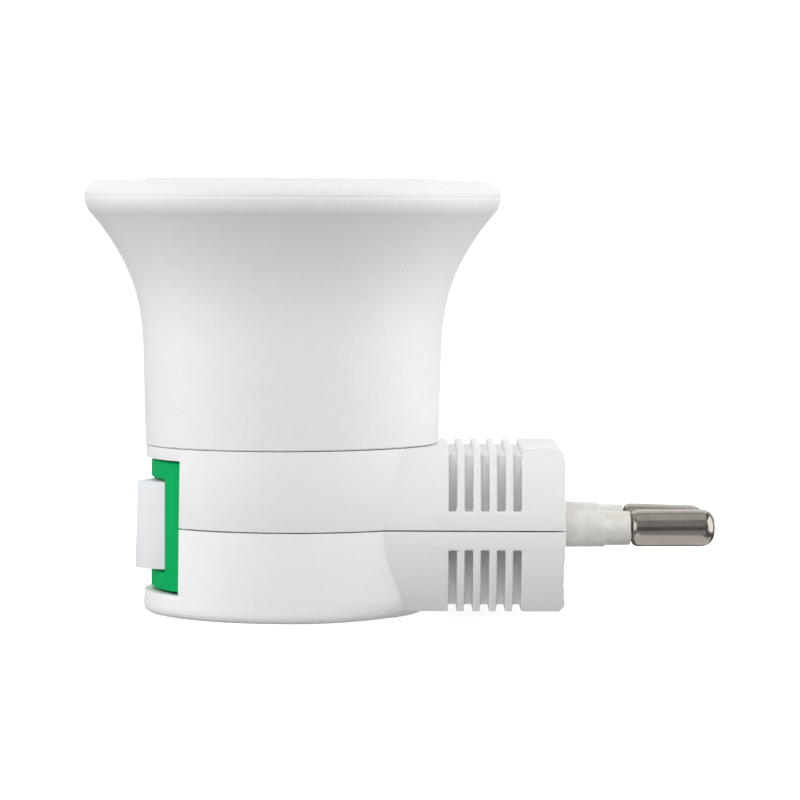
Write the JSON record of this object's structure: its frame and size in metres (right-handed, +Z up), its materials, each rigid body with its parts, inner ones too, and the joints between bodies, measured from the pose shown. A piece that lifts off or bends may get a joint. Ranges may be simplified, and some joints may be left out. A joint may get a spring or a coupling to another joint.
{
  "type": "plug-in lamp holder",
  "caption": "White plug-in lamp holder with a flared screw socket, a two-pin mains plug block with grip grooves, and a white rocker switch in a green frame.",
  "frame": {"origin": "the centre of the flat round base, on the surface that the lamp holder stands on", "axes": "+X from the body's axis towards the plug pins, +Z up out of the screw socket, -Y the side nearest the picture's camera; the rocker switch is on the -X side"},
  "size_m": [0.0824, 0.0546, 0.0569],
  "materials": {
    "white_plastic": "fine spark-textured moulded white plastic",
    "insert_plastic": "white heat-resistant moulded plastic",
    "green_plastic": "glossy green moulded plastic",
    "rocker_plastic": "satin off-white moulded plastic",
    "sleeve_plastic": "off-white insulating plastic",
    "contact_disc": "unglazed off-white insulating disc",
    "nickel": "bright nickel plate",
    "brass": "pressed brass strip",
    "steel": "zinc-plated steel",
    "live_wire": "brown wire insulation",
    "neutral_wire": "blue wire insulation"
  },
  "bodies": {
    "holder": {"bell_collar": "white_plastic", "upper_shell": "white_plastic", "lower_shell": "white_plastic", "socket_insert": "insert_plastic", "screw_shell": "nickel", "contact_base": "contact_disc", "centre_contact": "brass", "side_contact": "brass", "centre_rivet": "brass", "side_rivet": "brass", "pin_near": "nickel", "pin_far": "nickel", "pin_sleeve_near": "sleeve_plastic", "pin_sleeve_far": "sleeve_plastic", "switch_housing": "green_plastic", "terminal_common": "brass", "terminal_fixed": "brass", "wire_live_in": "live_wire", "wire_live_out": "live_wire", "wire_neutral": "neutral_wire", "shell_screw_1": "steel", "shell_screw_2": "steel", "shell_screw_3": "steel", "socket_screw_near": "steel", "socket_screw_far": "steel"},
    "rocker": {"rocker": "rocker_plastic", "plunger": "rocker_plastic", "plunger_spring": "steel"},
    "contact_lever": {"contact_lever": "brass"}
  },
  "joints": [
    {"name": "rocker_tilt", "type": "hinge", "parent": "holder", "child": "rocker", "pos_m": [-0.012, 0, 0.0117], "axis": [0, 0, 1], "range_deg": [0, 24]},
    {"name": "lever_tilt", "type": "hinge", "parent": "holder", "child": "contact_lever", "pos_m": [-0.00545, 0, 0.0117], "axis": [0, 0, 1], "range_deg": [-12, 0]}
  ],
  "couplings": [
    {"joint": "lever_tilt", "follows": "rocker_tilt", "ratio": -0.5}
  ]
}
